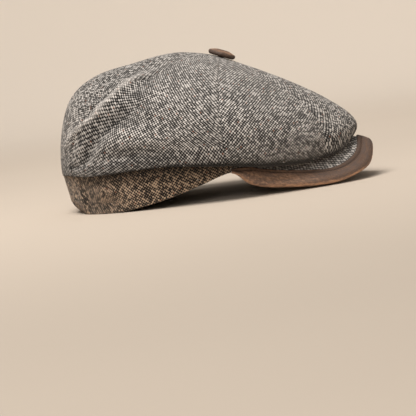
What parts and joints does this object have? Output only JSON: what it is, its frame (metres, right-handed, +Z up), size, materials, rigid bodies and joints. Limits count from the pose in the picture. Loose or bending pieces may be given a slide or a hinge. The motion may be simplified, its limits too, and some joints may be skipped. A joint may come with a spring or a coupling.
{
  "type": "baker boy cap",
  "caption": "Soft baker boy cap in speckled grey tweed: full panelled crown with a covered button, headband, and a short stiff peak edged in brown leather.",
  "frame": {"origin": "under the middle of the cap's overall box, on the surface that it stands on", "axes": "+X towards the peak, the wearer's front; +Y towards the wearer's left; +Z up"},
  "size_m": [0.272, 0.207, 0.1269],
  "materials": {
    "tweed": "salt and pepper wool tweed",
    "band_tweed": "salt and pepper wool tweed, darker",
    "leather": "worn matt brown"
  },
  "bodies": {
    "root": {"crown_front": "tweed", "crown_temple_left": "tweed", "crown_temple_right": "tweed", "crown_rear_left": "tweed", "crown_rear_right": "tweed", "crown_back": "tweed", "headband": "band_tweed", "peak": "tweed", "peak_binding": "leather", "button": "leather"}
  },
  "joints": []
}
